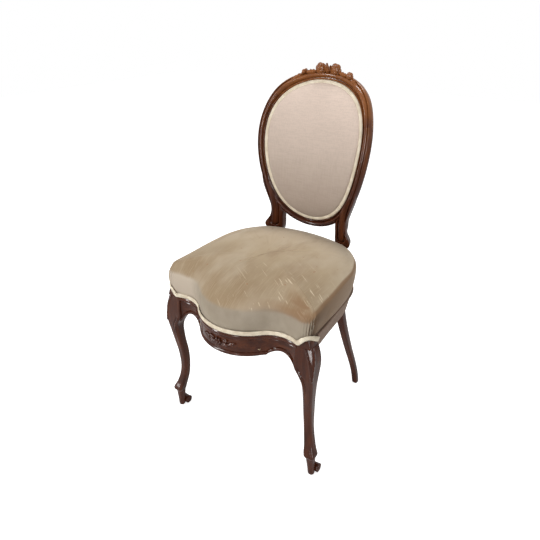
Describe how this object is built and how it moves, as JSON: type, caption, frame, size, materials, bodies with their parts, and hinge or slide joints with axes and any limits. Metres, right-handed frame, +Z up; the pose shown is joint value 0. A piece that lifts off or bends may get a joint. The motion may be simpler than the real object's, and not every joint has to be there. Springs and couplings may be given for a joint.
{
  "type": "balloon back chair",
  "caption": "Victorian balloon back dining chair with an oval upholstered back, a serpentine sprung seat and cabriole front legs.",
  "frame": {"origin": "middle of the floor rectangle that the chair covers, on the floor", "axes": "+X to the sitter's left, +Y to the back of the chair, +Z up"},
  "size_m": [0.486, 0.4932, 0.9433],
  "materials": {
    "mahogany": "polished dark red-brown mahogany, worn lighter on the edges",
    "frame_beech": "plain sawn beech, aged",
    "seat_velvet": "faded cotton velvet, worn smooth on top",
    "back_velvet": "faded cotton velvet, soft sheen",
    "gimp_braid": "woven ivory braid",
    "jute_webbing": "woven jute with a dark edge line",
    "hessian": "coarse plain weave",
    "horsehair": "curled hair and wadding, matt",
    "dust_cloth": "black calico",
    "spring_steel": "copper-washed spring wire, dulled",
    "screw_steel": "plain steel, dulled",
    "tack_steel": "blued steel"
  },
  "bodies": {
    "root": {"front_leg_left": "mahogany", "front_leg_right": "mahogany", "back_post_left": "mahogany", "back_post_right": "mahogany", "front_rail": "mahogany", "side_rail_left": "frame_beech", "side_rail_right": "frame_beech", "rear_seat_rail": "frame_beech", "lower_back_rail": "mahogany", "crest_rail": "mahogany", "crest_carving": "mahogany", "crest_dowels": "frame_beech", "lower_rail_dowels": "frame_beech", "corner_blocks": "frame_beech", "block_screws": "screw_steel", "seat_webbing": "jute_webbing", "webbing_tacks": "tack_steel", "seat_springs": "spring_steel", "spring_canvas": "hessian", "seat_cover": "seat_velvet", "seat_stuffing": "horsehair", "seat_gimp": "gimp_braid", "side_band_left": "seat_velvet", "side_band_right": "seat_velvet", "rear_band": "seat_velvet", "side_piping_left": "seat_velvet", "side_piping_right": "seat_velvet", "dust_cover": "dust_cloth", "back_webbing": "jute_webbing", "back_canvas": "hessian", "back_stuffing": "horsehair", "back_pad": "back_velvet", "back_gimp": "gimp_braid", "outside_back_cover": "back_velvet", "outside_back_gimp": "gimp_braid"}
  },
  "joints": []
}
